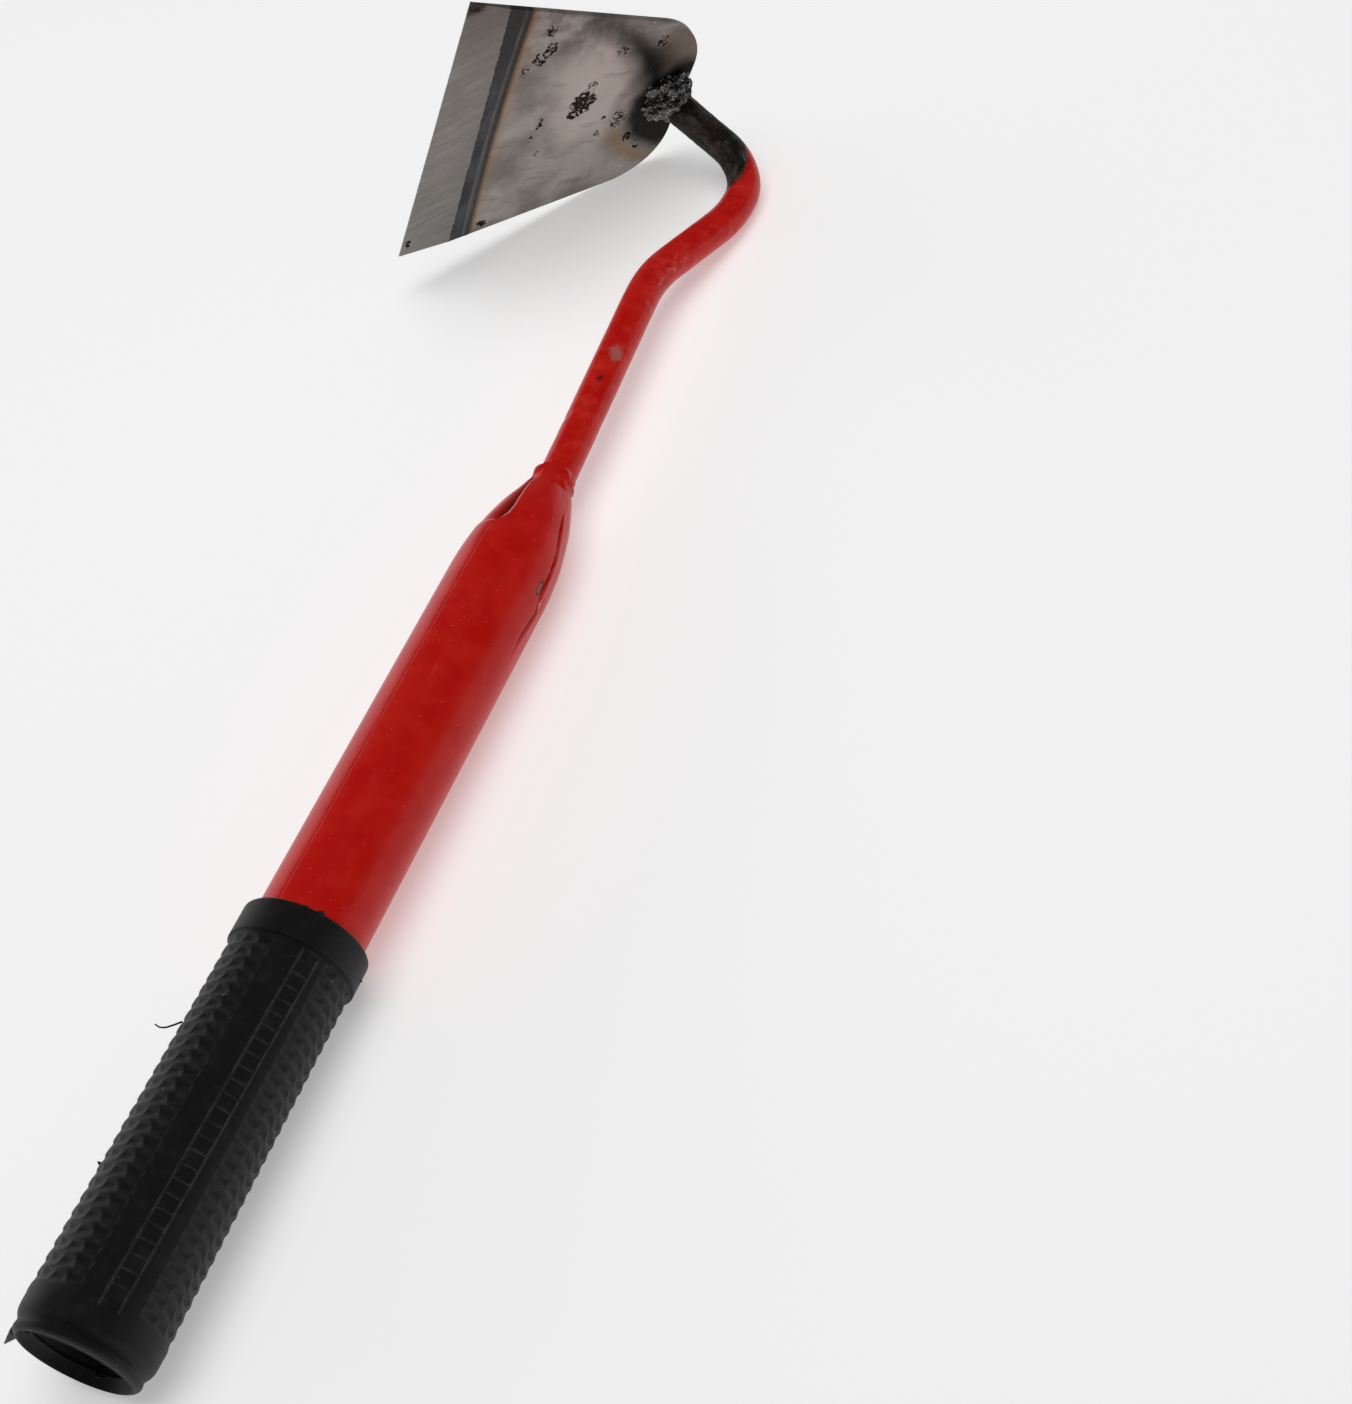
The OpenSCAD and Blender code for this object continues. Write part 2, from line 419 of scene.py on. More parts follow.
def bar_paint():
    f, spot, paint, gloss, height = red_paint("red_and_burnt_bar", along_the_bar)
    _, s, z = spot.parts()
    # The paint ends in a ragged, slanting line where the weld's heat burnt it
    ragged = f.cloud(spot, 3.5, 5.0, 0.65)
    line = s - z * BURN_SLANT + (ragged - 0.5) * 6.0 - BURN_LINE
    burnt = line.rise(-1.6, 2.0)
    soot = f.cloud(f.stretch(spot, 1.0, 0.45, 1.0), 4.5, 6.0, 0.68)
    scale = f.blend(soot.rise(0.42, 0.68), colour(22, 20, 19), colour(74, 69, 65))
    scale = f.blend(f.cloud(spot, 14.0, 3.0).rise(0.5, 0.7) * 0.45, scale, colour(58, 42, 34))
    streak = f.cloud(f.stretch(spot, 1.3, 0.5, 1.3), 1.3, 5.0, 0.7).rise(0.60, 0.70)
    scale = f.blend(streak * 0.5, scale, colour(150, 146, 142))
    edge = line.near(-1.5, 4.0)
    paint = f.blend(edge * 0.6, paint, colour(110, 12, 10))
    scuffs = f.cloud(f.stretch(spot, 1.0, 0.6, 1.0), 2.2, 7.0, 0.8).rise(0.48, 0.66)
    scuffed = s.near(SCUFF_AT, 26.0) * scuffs * z.rise(-1.0, 4.0)
    paint = f.blend(scuffed * 0.55, paint, colour(232, 150, 140))
    nubs = f.cells(spot, 2.0).rise(0.16, 0.05) * s.rise(135.0, 150.0)
    paint = f.blend(nubs * 0.6, paint, colour(240, 90, 84))
    paint = f.blend(f.cloud(spot, 5.0, 4.0).rise(0.45, 0.7) * 0.5, paint, colour(222, 56, 44))
    rubbed = f.kept_value("rubbed")
    paint = f.blend(rubbed * 0.8, paint, colour(176, 106, 100))
    pit_here = f.kept_value("dark_spot")
    paint = f.blend(pit_here, paint, colour(64, 30, 26))
    dull = gloss + rubbed * 0.25 + scuffed * 0.2
    skin = f.blend(burnt, paint, scale)
    flakes = f.cells(spot, 1.8)
    height = height + burnt * (soot * 1.6 + flakes * 0.5) - rubbed * 0.3
    rough_skin = dull * (1 - burnt) + burnt * (0.42 + soot * 0.25)
    return f.surface(
        Base_Color=skin,
        Roughness=rough_skin,
        IOR=PAINT_IOR,
        Normal=f.bump(height, 0.08),
    )


# ---------------------------------------------------------------- tube
# Along the handle y is in millimetres and angles are in degrees.
# The slit's raised lip and the closed seam, as (y, angle) stops, and the slit's width in degrees
SLIT = ((139.2, -43), (140.5, -36), (142.5, -30), (146.3, -29), (153.4, -32), (161.2, -38), (167, -44))
SLIT_GAP = ((139.2, 0), (141.5, 3), (145, 6), (153, 6), (161, 5), (167, 3))
SEAM = (
    (60, 57),
    (107.8, 58),
    (117.6, 63),
    (123.3, 55),
    (129.7, 54),
    (137.4, 52),
    (144.5, 46),
    (152.3, 41),
    (167, 36),
)
# How far the mouth is cut back, as (angle, length) stops
MOUTH_CUT = (
    (-44, 0),
    (-38, 0.5),
    (-28, 0.9),
    (-9, 0.8),
    (24, 0.6),
    (90, 0.3),
    (150, 1.2),
    (230, 0.4),
    (316, 0),
)
MOUTH_WHOLE = 316
# The sheet is turned from this angle, a hair short of a full round
SHEET_FROM = -43.0
SHEET_SWEEP = 359.5
LIP_LIFT = 0.75
TUCK_DEPTH = 3.7
SEAM_DEPTH = 0.45
DENT_DEPTH = 0.5
DENT_AT = (121.4, 65)
BARE_DEPTH = 0.25
BARE_AT = (124.8, 49)


def tube():
    """A sheet rolled up into a tube and hammered into a taper, with its edges apart at the slit."""
    rows = steps(TUBE_END, COLLAR_FRONT, 6) + steps(COLLAR_FRONT, 104, 3)
    rows += steps(104, 136, 0.8) + steps(136, MOUTH, 0.5) + [MOUTH]
    bm = turn_profile([(TUBE_R, y) for y in rows], 240, SHEET_FROM, SHEET_SWEEP)
    kept = {name: bm.verts.layers.float.new(name) for name in ("bare", "ridged", "lip", "groove", "painted_fold_shade")}
    for v in bm.verts:
        y = v.co.y
        # The sheet's first edge is tucked under, and its last edge is the slit's raised lip
        round_it = (SHEET_FROM - angle_of(v.co)) % 360 / SHEET_SWEEP
        if round_it > 1.0005:
            round_it = 0.0
        lip, gap = along_line(SLIT, y), along_line(SLIT_GAP, y)
        angle = lip + (360 - gap) * (1 - round_it)
        r = TUBE_R - 0.1 if y < COLLAR_FRONT else nose_radius(y)
        open_here = ease(139.4, 142.5, y)
        lift = LIP_LIFT * math.exp(-(angle - lip) / 9) * open_here * ease(168, 160, y)
        tucked = math.exp(-(lip + 360 - gap - angle) / 20) * open_here
        sink = TUCK_DEPTH * tucked * ease(169, 160, y)
        wander = angle - along_line(SEAM, y) - 1.2 * rough(y, 3, 1, 6)
        seamed = ease(96, 112, y) * ease(158, 151, y)
        groove = seamed * (SEAM_DEPTH * bump_at(wander, 0, 1.6) - 0.22 * bump_at(wander, 5, 3.5))
        # The taper was hammered closed in flat strokes
        strokes = 0.16 * rough(angle * 0.30, y * 0.45, 2.0, 7.0, 2) * ease(122, 138, y)
        dent = DENT_DEPTH * patch(y, angle, DENT_AT, (1.6, 5.5))
        oval = patch(y, angle, BARE_AT, (2.6, 4.5))
        r += lift - sink - groove + strokes - dent - BARE_DEPTH * oval
        # Painted shade for the sheet tucked under the lip
        v[kept["painted_fold_shade"]] = ease(0.12, 0.75, tucked)
        # Where the painted shade in the seam's groove goes
        v[kept["groove"]] = seamed * bump_at(wander, 0, 1.3)
        # Where the painted highlight along the lip goes
        v[kept["lip"]] = open_here * bump_at(angle, lip, 1.7)
        v[kept["bare"]] = oval
        v[kept["ridged"]] = ease(0.4, 0.7, dent / DENT_DEPTH * (0.7 + 0.6 * math.sin(y * 5.5)))
        cut = along_line(MOUTH_CUT, angle) if angle < MOUTH_WHOLE else 0.0
        ragged = 0.4 * rough(angle * 0.2, 1, 8, 5.0) * ease(MOUTH - 6, MOUTH, y)
        y -= cut * ease(MOUTH - 14, MOUTH, y) + ragged
        v.co = spot_round(r, angle, y)
    bmesh.ops.remove_doubles(bm, verts=bm.verts, dist=0.02)
    bmesh.ops.recalc_face_normals(bm, faces=bm.faces)
    made = finish_piece("tapered_tube", bm, "handle_tube", tube_paint(), sharp=50)
    made.data.materials.append(dark_steel())
    wall = made.modifiers.new("wall", "SOLIDIFY")
    wall.thickness, wall.offset, wall.material_offset = TUBE_WALL * MM, -1.0, 1
    return made


# ---------------------------------------------------------------- weld ring at the tube's mouth
RING_REAR = 161.5
RING_STEP = 0.32
RING_ROWS = 41
RING_HEIGHT = 0.9
# The ring's two beads, as (y, half length)
BEADS = ((167.0, 2.0), (170.6, 1.7))
BEAD_HEIGHT = 0.9
# The ring's lumps, as (height, (y, angle), (half length, half width))
RING_LUMPS = ((1.1, (169.5, -66), (1.8, 20)), (0.7, (171.5, -35), (1.2, 14)))


def neck_ring():
    """Two beads of weld where the bar leaves the tube's mouth."""
    profile = []
    for i in range(RING_ROWS):
        y = RING_REAR + i * RING_STEP
        bead = max(BEAD_HEIGHT * bump_at(y, at, wide) for at, wide in BEADS)
        body = RING_HEIGHT * ease(161.5, 164, y) * ease(174.3, 172.5, y)
        profile.append((BAR_R - 0.5 + body + bead, y))
    bm = turn_profile(profile, 120)
    for v in bm.verts:
        a, y = angle_of(v.co), v.co.y
        r = math.hypot(v.co.x, v.co.z)
        lean = 1.2 * math.cos(math.radians(a + 40)) * ease(163, 170, y)
        lumps = 0.55 * rough(v.co.x, y, v.co.z, 2.6) * ease(BAR_R - 0.4, BAR_R + 0.8, r)
        blob = sum(height * patch(y, a, spot, size) for height, spot, size in RING_LUMPS)
        blob -= 0.5 * bump_at(a, 60, 35) * ease(BAR_R, BAR_R + 1, r)
        v.co = spot_round(r + lumps + blob, a, y + lean)
    bmesh.ops.recalc_face_normals(bm, faces=bm.faces)
    bmesh.ops.translate(bm, verts=bm.verts, vec=(0, 0, 0.2))
    return finish_piece("neck_weld_ring", bm, "neck_weld", weld_paint(), sharp=60)


# ---------------------------------------------------------------- bar
# Places along the bar are in millimetres from its hidden end
BURN_LINE = 200.0
BURN_SLANT = 2.4
SCUFF_AT = 134.0
RUB_AT = (90.0, 6.0)
DARK_SPOT_AT = (77.5, -9)
# Nicks, as (place along the bar, angle, half length, depth)
NICKS = (
    (92.0, 12, 1.0, 0.45),
    (88.0, -30, 0.8, 0.35),
    (118.0, 30, 1.2, 0.4),
    (60.0, -70, 1.5, 0.35),
    (171.0, 60, 1.1, 0.35),
)
NICK_WIDTH = 22


def bar():
    """A straight round bar, nicked and dented, then bent step by step."""
    places = steps(0, BAR_LENGTH, 0.9) + [BAR_LENGTH]
    bm = turn_profile([(BAR_R, s) for s in places], 60)
    straight = bm.verts.layers.float_vector.new("straight")
    rubbed = bm.verts.layers.float.new("rubbed")
    dark_spot = bm.verts.layers.float.new("dark_spot")
    for v in bm.verts:
        a, s = angle_of(v.co), v.co.y
        x, z = v.co.x, v.co.z
        r = BAR_R - 0.02
        r += 0.10 * rough(x, s * 0.5, z, 6.0, 3)
        for at, side, width, depth in NICKS:
            r -= depth * patch(s, a, (at, side), (width, NICK_WIDTH))
        # The crook was squeezed a little flat on its inner side
        r -= 0.25 * bump_at(s, 215, 16) * max(0.0, -math.sin(math.radians(a)))
        burnt = ease(0, 6, s - BURN_SLANT * z - BURN_LINE)
        r += burnt * 0.13 * rough(x, s, z, 1.6, 3)
        v[rubbed] = ease(0.25, 0.75, patch(s, a, RUB_AT, (4.0, 26)) + 0.3 * rough(x, s, z, 2.0))
        r -= 0.18 * v[rubbed]
        v[dark_spot] = ease(0.3, 0.7, patch(s, a, DARK_SPOT_AT, (1.3, 9)) + 0.2 * rough(x, s, 4, 1.0))
        # Its far end is chamfered under the weld
        r = min(r, BAR_R) - 0.5 * ease(BAR_LENGTH - 1.5, BAR_LENGTH, s)
        v.co = spot_round(r, a, s)
        v[straight] = v.co
    ends = [e for e in bm.edges if e.is_boundary]
    bmesh.ops.holes_fill(bm, edges=ends, sides=0)
    frames = {}
    for v in bm.verts:
        key = round(v.co.y, 4)
        if key not in frames:
            frames[key] = bar_frame(key)
        v.co = frames[key] @ Vector((v.co.x, 0, v.co.z))
    bmesh.ops.recalc_face_normals(bm, faces=bm.faces)
    return finish_piece("bent_round_bar", bm, "bent_bar", bar_paint(), sharp=45)


# ---------------------------------------------------------------- blade
# On the plate, x runs along the cutting edge from its middle and s runs up from the edge
BLADE_CELL = 0.8
BEVEL_MIDDLE = 16.8
BEVEL_LEAN = 0.0288
PIT_DEPTH = 0.20
RIDGE_HEIGHT = 0.10
SCRATCH_SLANT = -32
# The bevel's border and the dark band's far side, as (x, s) stops
BEVEL_LINE = ((-63, 15.2), (-4, 16.7), (58, 18.6), (63, 18.8))
BAND_LINE = ((-63, 23.6), (-50, 22.9), (-20, 22.9), (10, 23.5), (40, 24.8), (63, 26.4))
# Pitted patches, as (x, s, half width, half depth, how dense)
PITS = (
    (-6.6, 56.8, 6.2, 5.2, 1.0),
    (-0.9, 54.4, 2.6, 2.8, 0.9),
    (-14.6, 58.4, 2.6, 2.2, 0.55),
    (-37.0, 36.0, 3.4, 3.0, 0.5),
    (-32.5, 33.0, 4.0, 3.6, 0.55),
    (-45.5, 33.8, 3.4, 2.6, 0.45),
    (-27.2, 28.6, 3.0, 2.4, 0.4),
    (0.8, 41.4, 3.6, 1.6, 0.65),
    (8.6, 39.4, 2.4, 1.4, 0.5),
    (16.4, 81.6, 2.8, 2.2, 0.9),
    (22.6, 87.2, 1.8, 1.5, 0.7),
    (11.6, 67.6, 2.0, 1.6, 0.6),
    (3.8, 68.2, 1.2, 1.0, 0.6),
    (16.8, 44.4, 1.6, 1.1, 0.6),
    (-30.0, 66.2, 2.4, 3.0, 0.5),
    (-31.5, 82.0, 3.4, 3.0, 0.5),
    (51.2, 30.2, 1.8, 2.6, 0.8),
    (5.5, 74.5, 5.5, 4.0, 0.35),
    (56.6, 2.2, 2.2, 1.2, 0.9),
    (-60.6, 3.0, 2.4, 3.2, 0.6),
)


def outline_cut(bm, spot, normal):
    """Trims away what lies beyond a straight cut."""
    bmesh.ops.bisect_plane(
        bm,
        geom=bm.verts[:] + bm.edges[:] + bm.faces[:],
        plane_co=spot,
        plane_no=normal,
        clear_outer=True,
        dist=0.0001,
    )


def pitted(x, s):
    """How much of the plate is pitted at a place, from 0 to 1."""
    most = 0.0
    for px, ps, wide, deep, dense in PITS:
        d = ((x - px) / wide) ** 2 + ((s - ps) / deep) ** 2
        most = max(most, (0.45 + 0.55 * dense) * ease(1.5, 0.35, d))
    return most


def close_to_pits(edge, px, ps, wide, deep):
    """True where both ends of an edge are within a patch of pits or just outside it."""
    spots = [((v.co.x - px) / (wide + 1), (v.co.y - ps) / (deep + 1)) for v in edge.verts]
    return all(across**2 + up**2 < 1.3 for across, up in spots)


def blade_sheet():
    """The plate's outline as a sheet of small squares."""
    side = math.atan2((EDGE_W - BACK_W) / 2, BLADE_H)
    wide, tall = EDGE_W / 2 + BLADE_CELL, BLADE_H + BLADE_CELL
    bm = bmesh.new()
    across, up = round(2 * wide / BLADE_CELL), round(tall / BLADE_CELL)
    bmesh.ops.create_grid(bm, x_segments=across, y_segments=up, size=1)
    bmesh.ops.scale(bm, vec=(wide, tall / 2, 1), verts=bm.verts)
    bmesh.ops.translate(bm, vec=(0, tall / 2, 0), verts=bm.verts)
    # Sheared along the edge, the back and both sides, with the back corners nibbled round
    outline_cut(bm, (0, 0, 0), (0, -1, 0))
    outline_cut(bm, (0, BLADE_H, 0), (0, 1, 0))
    tangent = SHOULDER_R / math.tan((math.pi / 2 + side) / 2)
    for hand in (-1, 1):
        outline_cut(bm, (hand * EDGE_W / 2, 0, 0), (hand * math.cos(side), math.sin(side), 0))
        centre = Vector((hand * (BACK_W / 2 - tangent), BLADE_H - SHOULDER_R, 0))
        for i in range(1, 16):
            a = side + (math.pi / 2 - side) * i / 16
            away = Vector((hand * math.cos(a), math.sin(a), 0))
            outline_cut(bm, centre + away * SHOULDER_R, away)
    bmesh.ops.bisect_plane(
        bm,
        geom=bm.verts[:] + bm.edges[:] + bm.faces[:],
        plane_co=(0, BEVEL_MIDDLE, 0),
        plane_no=(-BEVEL_LEAN, 1, 0),
        dist=0.05,
    )
    # Finer squares where the plate is pitted
    for px, ps, wide, deep, _ in PITS:
        near = [e for e in bm.edges if close_to_pits(e, px, ps, wide, deep)]
        bmesh.ops.subdivide_edges(bm, edges=near, cuts=2, use_grid_fill=True)
    return bm


def blade_plate():
    """Two such sheets joined round the rim, the front one ground to a bevel and pitted."""
    bm = blade_sheet()
    pit = bm.verts.layers.float.new("pit")
    back = bmesh.ops.duplicate(bm, geom=bm.verts[:] + bm.edges[:] + bm.faces[:])["geom"]
    back_verts = [g for g in back if isinstance(g, bmesh.types.BMVert)]
    under = set(back_verts)
    for v in bm.verts:
        x, s = v.co.x, v.co.y
        edge_ripple = 0.12 * (0.5 + 0.5 * rough(x, 0, 5, 4.0)) * ease(1.5, 0, s)
        if v in under:
            v.co.z = -PLATE_T + 0.02 * rough(x, s, 9, 8.0)
            v.co.z = max(v.co.z, -PLATE_T)
        else:
            line = along_line(BEVEL_LINE, x) + 0.25 * rough(x, 0, 2, 3.0)
            slope = (PLATE_T - EDGE_T) / line
            z = min(0.0, (s - line) * slope)
            ridge = RIDGE_HEIGHT * bump_at(s, along_line(BAND_LINE, x) - 0.9, 1.0)
            wave = 0.05 * rough(x, s, 1, 18.0, 2)
            v[pit] = pitted(x, s)
            hollow = ease(0.3, 0.8, v[pit] + 0.6 * rough(x, s, 3, 1.6, 3))
            z += min(0.0, wave) - PIT_DEPTH * hollow
            v.co.z = min(0.12, z + ridge * ease(0, 2, s - line))
        v.co.y = s + edge_ripple
    rim = [e for e in bm.edges if e.is_boundary]
    bmesh.ops.bridge_loops(bm, edges=rim)
    bmesh.ops.recalc_face_normals(bm, faces=bm.faces)
    return finish_piece("blade_plate", bm, "blade", blade_steel(), place=PLATE, sharp=30)


def rolled_steel(f, spot, wobble, broad, smears):
    """Rolled plate: brownish grey clouds with a pale painted highlight in the middle, mottled towards one
    side.
    """
    x, s, _ = spot.parts()
    body = f.blend(broad.rise(0.35, 0.62), colour(134, 128, 121), colour(174, 169, 162))
    highlight_distance = ((x + 10.0) * (x + 10.0) * 0.35 + (s - 62.0) * (s - 62.0)) ** 0.5
    # Painted highlight: a pale patch round the plate's middle, feathered by the wobble
    body = f.blend((highlight_distance + wobble * 0.7).rise(27.0, 6.0) * 0.8, body, colour(206, 195, 188))
    body = f.blend(smears.rise(0.52, 0.74) * 0.5, body, colour(104, 97, 93))
    mottled = x.rise(-18.0, -50.0) * f.cloud(spot, 8.0, 5.0, 0.65).rise(0.40, 0.60)
    body = f.blend(mottled * 0.55, body, colour(84, 78, 74))
    pale = f.cells(f.shift(spot, 2.0, 5.0, 0.0), 7.0).rise(0.11, 0.03) * s.rise(45.0, 55.0)
    return f.blend(pale * 0.5, body, colour(226, 214, 208))


def grinding_heat(f, spot, body):
    """Straw and brown lines from the heat of grinding, then a blue-grey band down to the bevel, with a
    painted highlight along the ridge in it.
    """
    x, s, _ = spot.parts()
    off = s - (22.9 + abs(x + 18.0) * abs(x + 18.0) * 0.00048)
    straw = off.rise(6.5, 0.3) * off.rise(-0.5, 0.5)
    body = f.blend(straw * 0.55, body, colour(156, 132, 106))
    body = f.blend(off.near(1.0, 1.6) * 0.6, body, colour(112, 78, 54))
    body = f.blend(off.near(0.0, 1.3) * 0.95, body, colour(50, 36, 32))
    clouded = f.cloud(f.stretch(spot, 0.4, 1.0, 1.0), 5.0, 5.0)
    blued = f.blend(clouded.rise(0.35, 0.7), colour(58, 58, 61), colour(84, 84, 87))
    # Painted highlight: a lighter stripe along the ridge inside the blue-grey band
    blued = f.blend(off.near(-1.9, 1.1) * 0.5, blued, colour(124, 120, 118))
    blued = f.blend(x.rise(0.0, -55.0) * clouded.rise(0.3, 0.6) * 0.7, blued, colour(44, 38, 36))
    return f.blend(off.rise(0.2, -0.4), body, blued)


def ground_bevel(f, spot, body, broad):
    """The ground bevel: bright steel with slanting scratches and a ragged border."""
    x, s, _ = spot.parts()
    ragged = (f.cloud(f.stretch(spot, 1.0, 0.2, 1.0), 2.2, 3.0, 0.7) - 0.5) * 1.6
    border = s - (16.72 + x * BEVEL_LEAN) + ragged
    ground = border.rise(0.25, -0.25)
    turn = {"Vector": spot, "Angle": math.radians(SCRATCH_SLANT)}
    grain = f.node("VectorRotate", {"rotation_type": "Z_AXIS"}, turn)
    scratch = f.cloud(f.stretch(grain, 2.4, 0.07, 1.0), 1.6, 5.0, 0.75)
    coarse = f.cloud(f.stretch(grain, 0.9, 0.05, 1.0), 1.6, 3.0, 0.6)
    steel = f.blend(scratch.rise(0.30, 0.72), colour(122, 119, 116), colour(150, 147, 143))
    steel = f.blend(coarse.rise(0.5, 0.72) * 0.3, steel, colour(168, 165, 160))
    steel = f.blend(broad.rise(0.3, 0.7) * 0.3, steel, colour(118, 112, 106))
    steel = f.blend(x.rise(-25.0, -62.0) * 0.45, steel, colour(84, 79, 75))
    return f.blend(ground, body, steel), ground, scratch * 0.3 + coarse * 0.2


def weld_burns(f, spot, body, wobble):
    """Black heat marks round the weld, with a plume that bends away to one side."""
    x, s, _ = spot.parts()
    round_weld = ((x - 2.0) * (x - 2.0) * 0.8 + (s - 98.0) * (s - 98.0)) ** 0.5
    heat = (round_weld + wobble * 0.4).rise(24.0, 16.5)
    plume = (s - 87.0 + x * x * 0.0145 + wobble * 0.45).near(0.0, 15.0) * x.rise(4.0, -6.0)
    heat = heat.most(plume * (1 - x.rise(-24.0, -54.0) * 0.5))
    corner = ((x + 28.0) * (x + 28.0) + (s - 92.0) * (s - 92.0)) ** 0.5
    body = f.blend((corner + wobble * 0.6).rise(16.0, 7.0) * 0.75, body, colour(116, 100, 86))
    fringe = (round_weld + wobble * 0.4).near(25.0, 5.5)
    body = f.blend(fringe * x.rise(5.0, 16.0) * 0.75, body, colour(150, 122, 96))
    body = f.blend(fringe * x.rise(14.0, -2.0) * 0.5, body, colour(120, 104, 98))
    return f.blend(heat * 0.98, body, colour(20, 17, 15)), heat


def pit_marks(f, spot, body):
    """Broken, curly spots where the mill scale has come away, and a few small specks."""
    pit = f.kept_value("pit")
    curl = abs(f.cloud(spot, 2.6, 5.0, 0.62) - 0.5) * 2.0
    blot = f.cloud(f.shift(spot, 7.0, 3.0, 1.0), 1.7, 5.0, 0.65)
    broken = pit * 0.95 - curl * 2.6 + (blot - 0.5) * 1.5
    specks = f.cells(spot, 1.3).rise(0.16, 0.08) * f.cloud(spot, 8.0, 2.0).rise(0.54, 0.62)
    holes = broken.rise(0.34, 0.44).most(specks * 0.8)
    body = f.blend(broken.near(0.30, 0.10) * 0.5, body, colour(206, 198, 190))
    return f.blend(holes, body, colour(36, 26, 21)), holes


def blade_steel():
    f = Finish("worn_blade_steel")
    spot = f.local(PLATE)
    x, s, _ = spot.parts()
    fine = f.cloud(spot, 0.9, 3.0)
    broad = f.cloud(spot, 20.0, 4.0, 0.5)
    wobble = (f.cloud(spot, 9.0, 4.0) - 0.5) * 12.0
    smears = f.cloud(f.stretch(spot, 1.4, 0.30, 1.0), 6.0, 6.0, 0.65)
    body = rolled_steel(f, spot, wobble, broad, smears)
    body = grinding_heat(f, spot, body)
    body, ground, scratches = ground_bevel(f, spot, body, broad)
    body, heat = weld_burns(f, spot, body, wobble)
    body, holes = pit_marks(f, spot, body)
    # One corner of the cutting edge is burnt
    far = ((x + 63.0) * (x + 63.0) + s * s) ** 0.5
    body = f.blend((far + wobble * 0.2).rise(8.0, 4.0) * 0.85, body, colour(52, 44, 38))
    rough_skin = 0.40 + fine * 0.12 + heat * 0.15 + holes * 0.3 - ground * 0.06
    height = ground * scratches + fine * 0.2 - holes * 1.4 + (1 - ground) * smears * 0.4
    return f.surface(
        Base_Color=body,
        Roughness=rough_skin,
        Metallic=(1 - heat * 0.7) * (1 - holes) * 0.7,
        IOR=STEEL_IOR,
        Normal=f.bump(height, 0.05),
    )


# ---------------------------------------------------------------- weld bead on the blade
BEAD_SIZE = (11.0, 8.6, 7.4)
BEAD_LEAN = -12
# Lumps on the bead, as (how many to its radius, height as a share of it)
BEAD_LUMPS = ((2.2, 0.28), (4.2, 0.12), (8.0, 0.04))


def blade_bead():
    """A ball of weld covered in rounded lumps of three sizes, sunk into the plate round the bar's end."""
    bm = bmesh.new()
    bmesh.ops.create_icosphere(bm, subdivisions=7, radius=1)
    for v in bm.verts:
        n = v.co.normalized()
        lump = 0.30 * rough(n.x, n.y, n.z, 0.9, 2)
        for fineness, height in BEAD_LUMPS:
            near = noise.voronoi(n * fineness)[0][0]
            lump += height * (0.5 - min(near * 1.2, 1.0) ** 2)
        v.co = n * (1 + lump)
    bmesh.ops.scale(bm, vec=BEAD_SIZE, verts=bm.verts)
    lean = Matrix.Rotation(math.radians(BEAD_LEAN), 3, "Z")
    bmesh.ops.rotate(bm, cent=(0, 0, 0), matrix=lean, verts=bm.verts)
    bmesh.ops.translate(bm, vec=(-2.6, BLADE_H - WELD_INSET - 2.0, 0.0), verts=bm.verts)
    # It is pressed flat just short of the plate's back edge
    top = BLADE_H - 0.9
    for v in bm.verts:
        if v.co.y > top:
            v.co.y = top + 0.12 * (v.co.y - top)
        # Its root stays inside the plate
        if v.co.z < -PLATE_T / 2:
            v.co.z = -PLATE_T / 2 + 0.02 * v.co.z
    return finish_piece("blade_weld_bead", bm, "blade_weld", slag(), place=PLATE, sharp=70)


def slag():
    f = Finish("black_weld_slag")
    spot = f.local(PLATE)
    patch = f.cloud(spot, 2.4, 6.0, 0.65)
    body = f.blend(patch.rise(0.45, 0.7), colour(10, 9, 9), colour(46, 43, 42))
    glints = f.cells(f.stretch(spot, 1.0, 0.6, 1.0), 0.9).rise(0.30, 0.16)
    bright = glints * f.cloud(spot, 2.4, 4.0, 0.7).rise(0.46, 0.52)
    body = f.blend(bright, body, colour(236, 234, 230))
    pebbles = f.cells(spot, 1.5)
    return f.surface(
        Base_Color=body,
        Roughness=0.10 + patch * 0.3,
        Coat_Weight=0.8,
        Coat_Roughness=0.05,
        Normal=f.bump(pebbles * 0.5 + patch * 0.6, 0.25),
    )


# ---------------------------------------------------------------- grip
COLLAR_R = 18.86
BODY_FRONT = -17.3
BODY_REAR = -124.2
BODY_R = ((BODY_REAR, 18.8), (BODY_FRONT, 18.1))
# The rear lip rounds in from here, and its outside swings this far in and back
LIP_FRONT = -126.4
LIP_R = 18.7
LIP_IN = 2.4
LIP_BACK = 7.6
# Moulded pockets: their pitch, where in it the crest is, and the columns on each side, as (from, to, count)
POCKET = 4.2
CREST = 0.36
POCKET_DEPTH = 0.85
POCKET_SIDES = ((-145.0, -20.0, 8), (30.0, 170.0, 9))
# The ladder between them: its half width in degrees, its ends, and its last rung before the collar
LADDER_HALF = 7.5
LADDER_ENDS = (-124.0, -18.0)
FRONT_RUNG = -18.3
RUNGS_FROM = -25.6
SLOTS = (-123.4, -122.2)
# The points of a ring stand closer together over the ladder: this share of them covers this many degrees
FINE_SHARE = 0.1846
FINE_SWEEP = 24
FINE_RATE = 130
LADDER_TURN = 2.5


def ladder_centre(y):
    """The angle of the ladder's middle, which slants a little along the grip."""
    return 9.5 + (y + 70) * 0.07


